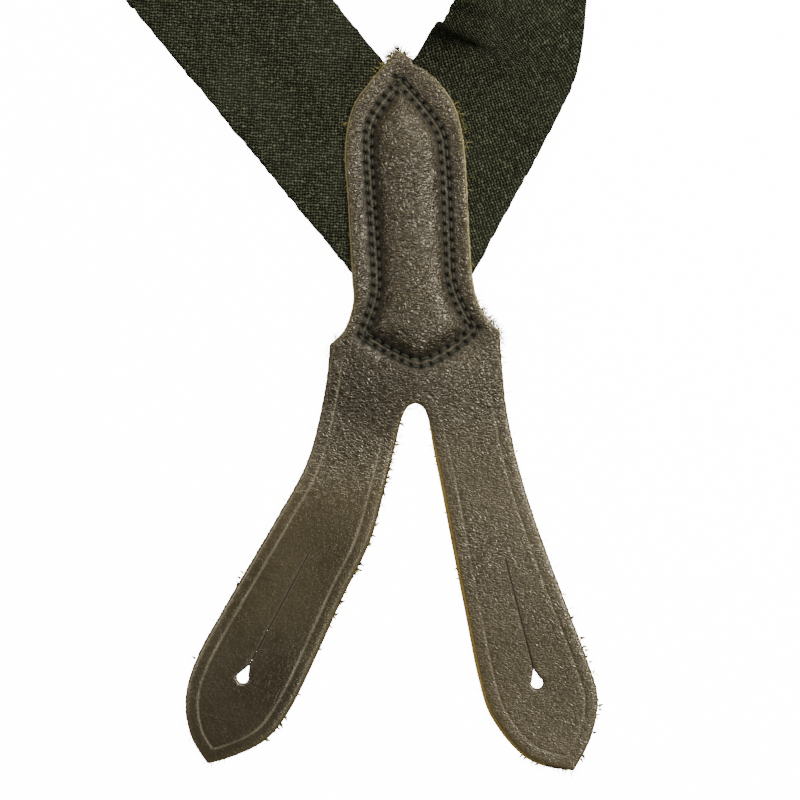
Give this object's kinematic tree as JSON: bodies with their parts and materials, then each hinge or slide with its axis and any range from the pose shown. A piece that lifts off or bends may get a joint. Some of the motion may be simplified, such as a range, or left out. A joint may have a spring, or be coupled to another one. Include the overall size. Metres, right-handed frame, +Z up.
{
  "type": "suspenders",
  "caption": "Button-on suspenders laid flat: leather back yoke with keyhole tails, elastic straps, sliding adjusters, wire rings and leather front button tabs.",
  "frame": {"origin": "middle of the yoke backing's underside, on the surface it lies on", "axes": "+Z up out of the face of the yoke, +Y up the straps away from the yoke's tails"},
  "size_m": [0.4584, 0.5406, 0.038],
  "materials": {
    "webbing": "woven",
    "leather": "satin",
    "thread": "matte",
    "brass": "satin"
  },
  "bodies": {
    "root": {"yoke_face": "leather", "yoke_backing": "leather", "yoke_stitch_outer": "thread", "yoke_stitch_inner": "thread", "strap_left": "webbing", "strap_right": "webbing", "strap_left_front": "webbing", "strap_right_front": "webbing"},
    "left_loop": {"left_strap_turn": "webbing", "left_strap_return": "webbing"},
    "left_slider": {"left_sewn_end": "webbing", "left_sewn_stitch": "thread", "left_adjuster_frame": "brass", "left_lever_pin": "brass"},
    "left_lever_arm": {"left_lever": "brass"},
    "left_ring_link": {"left_ring": "brass"},
    "left_tab": {"left_tab_hanger": "webbing", "left_tab_backing": "leather", "left_tab_face": "leather", "left_tab_stitch": "thread"},
    "right_loop": {"right_strap_turn": "webbing", "right_strap_return": "webbing"},
    "right_slider": {"right_sewn_end": "webbing", "right_sewn_stitch": "thread", "right_adjuster_frame": "brass", "right_lever_pin": "brass"},
    "right_lever_arm": {"right_lever": "brass"},
    "right_ring_link": {"right_ring": "brass"},
    "right_tab": {"right_tab_hanger": "webbing", "right_tab_backing": "leather", "right_tab_face": "leather", "right_tab_stitch": "thread"}
  },
  "joints": [
    {"name": "left_length", "type": "slide", "parent": "root", "child": "left_loop", "axis": [0, -1, 0], "range_m": [0, 0.065]},
    {"name": "left_adjuster_slide", "type": "slide", "parent": "left_loop", "child": "left_slider", "axis": [0, -1, 0], "range_m": [0, 0.065], "deforming": ["left_strap_return"]},
    {"name": "left_lever_hinge", "type": "hinge", "parent": "left_slider", "child": "left_lever_arm", "pos_m": [-0.23152, 0.1652, 0.0083], "axis": [-1, 0, 0], "range_deg": [0, 105]},
    {"name": "left_ring_hinge", "type": "hinge", "parent": "left_loop", "child": "left_ring_link", "pos_m": [-0.23152, 0.0052, 0.00305], "axis": [-1, 0, 0], "range_deg": [0, 90]},
    {"name": "left_tab_hinge", "type": "hinge", "parent": "left_ring_link", "child": "left_tab", "pos_m": [-0.23152, -0.0078, 0.00305], "axis": [-1, 0, 0], "range_deg": [0, 75]},
    {"name": "right_length", "type": "slide", "parent": "root", "child": "right_loop", "axis": [0, -1, 0], "range_m": [0, 0.065]},
    {"name": "right_adjuster_slide", "type": "slide", "parent": "right_loop", "child": "right_slider", "axis": [0, -1, 0], "range_m": [0, 0.065], "deforming": ["right_strap_return"]},
    {"name": "right_lever_hinge", "type": "hinge", "parent": "right_slider", "child": "right_lever_arm", "pos_m": [0.17169, 0.15997, 0.0083], "axis": [-1, 0, 0], "range_deg": [0, 105]},
    {"name": "right_ring_hinge", "type": "hinge", "parent": "right_loop", "child": "right_ring_link", "pos_m": [0.17169, -0.00003, 0.00305], "axis": [-1, 0, 0], "range_deg": [0, 90]},
    {"name": "right_tab_hinge", "type": "hinge", "parent": "right_ring_link", "child": "right_tab", "pos_m": [0.17169, -0.01303, 0.00305], "axis": [-1, 0, 0], "range_deg": [0, 75]}
  ],
  "couplings": [
    {"joint": "left_adjuster_slide", "follows": "left_length", "ratio": 1},
    {"joint": "right_adjuster_slide", "follows": "right_length", "ratio": 1}
  ]
}
